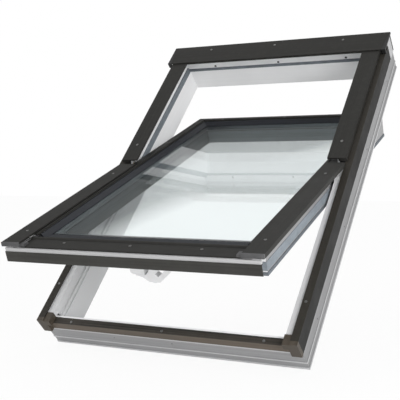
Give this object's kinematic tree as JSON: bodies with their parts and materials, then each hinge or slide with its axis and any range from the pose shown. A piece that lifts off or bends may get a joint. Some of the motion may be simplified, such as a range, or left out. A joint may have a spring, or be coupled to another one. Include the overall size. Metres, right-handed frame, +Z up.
{
  "type": "roof skylight",
  "caption": "Centre-pivot roof window: white plastic frame and sash with dark metal covers, double glazing, curved-track friction hinges and a loop handle on the lock bar.",
  "frame": {"origin": "Middle of the plane of the frame's back, on the window's centre line.", "axes": "X runs across the window to the right as seen from outside, Z is up, and -Y faces away from the roof; the window plane leans by the roof pitch of 45 degrees, so up the slope is +Y and +Z together."},
  "size_m": [0.789, 1.1089, 0.9392],
  "materials": {
    "white_plastic": "smooth white profile plastic, satin",
    "dark_metal": "powder-coated dark grey-brown sheet aluminium, satin",
    "black_plastic": "moulded black plastic, fine grain",
    "seal_rubber": "soft slate and black seals",
    "steel": "zinc-plated steel",
    "brass": "machined brass shoes",
    "spacer_metal": "bright spacer strip",
    "pane_glass": "clear float glass"
  },
  "bodies": {
    "frame_body": {"frame_top_rail": "white_plastic", "frame_bottom_rail": "white_plastic", "frame_left_jamb": "white_plastic", "frame_right_jamb": "white_plastic", "frame_reinforcement": "steel", "frame_upper_gasket": "seal_rubber", "frame_lower_liners": "white_plastic", "hood": "dark_metal", "hood_end_caps": "black_plastic", "hood_end_blocks": "white_plastic", "side_strip_left": "dark_metal", "side_strip_right": "dark_metal", "strip_end_cap_left": "black_plastic", "strip_end_cap_right": "black_plastic", "corner_block_left": "black_plastic", "corner_block_right": "black_plastic", "bottom_cover": "dark_metal", "upper_cover_carrier_left": "black_plastic", "upper_cover_carrier_right": "black_plastic", "upper_side_cover_left": "dark_metal", "upper_side_cover_right": "dark_metal", "frame_hinge_left": "steel", "frame_hinge_right": "steel", "hinge_screws": "steel", "strike_plates": "steel", "frame_cover_screws": "steel", "top_rail_screws": "steel"},
    "sash_body": {"sash_top_rail": "white_plastic", "sash_bottom_rail": "white_plastic", "sash_left_stile": "white_plastic", "sash_right_stile": "white_plastic", "sash_reinforcement": "steel", "outer_pane": "pane_glass", "inner_pane": "pane_glass", "spacer_frame": "spacer_metal", "edge_seal": "seal_rubber", "inner_glazing_gasket": "seal_rubber", "outer_glazing_gasket": "seal_rubber", "glazing_cover_left": "dark_metal", "glazing_cover_right": "dark_metal", "glazing_cover_top": "dark_metal", "sash_bottom_cover": "dark_metal", "sash_side_carrier_left": "white_plastic", "sash_side_carrier_right": "white_plastic", "sash_bottom_carrier": "white_plastic", "sash_apron": "dark_metal", "sash_side_cover_left": "dark_metal", "sash_side_cover_right": "dark_metal", "sash_end_cap_left": "black_plastic", "sash_end_cap_right": "black_plastic", "sash_side_gasket": "seal_rubber", "sash_inner_seal": "seal_rubber", "sash_hinge_left": "steel", "sash_hinge_right": "steel", "friction_shoes": "brass", "sash_cover_screws": "steel", "handle_base": "white_plastic", "lock_bar_guides": "steel"},
    "handle_body": {"handle_lever": "white_plastic"},
    "lock_body": {"lock_bar": "steel"}
  },
  "joints": [
    {"name": "sash_pivot", "type": "hinge", "parent": "frame_body", "child": "sash_body", "pos_m": [0, -0.10324, 0.10324], "axis": [-1, 0, 0], "range_deg": [-25.6, 104.4]},
    {"name": "handle_turn", "type": "hinge", "parent": "sash_body", "child": "handle_body", "pos_m": [-0.02464, -0.55035, -0.16553], "axis": [0, -0.3322, 0.9432], "range_deg": [0, 90]},
    {"name": "lock_slide", "type": "slide", "parent": "sash_body", "child": "lock_body", "axis": [1, 0, 0], "range_m": [0, 0.016]}
  ],
  "couplings": [
    {"joint": "lock_slide", "follows": "handle_turn", "m_per_rad": 0.010186}
  ]
}
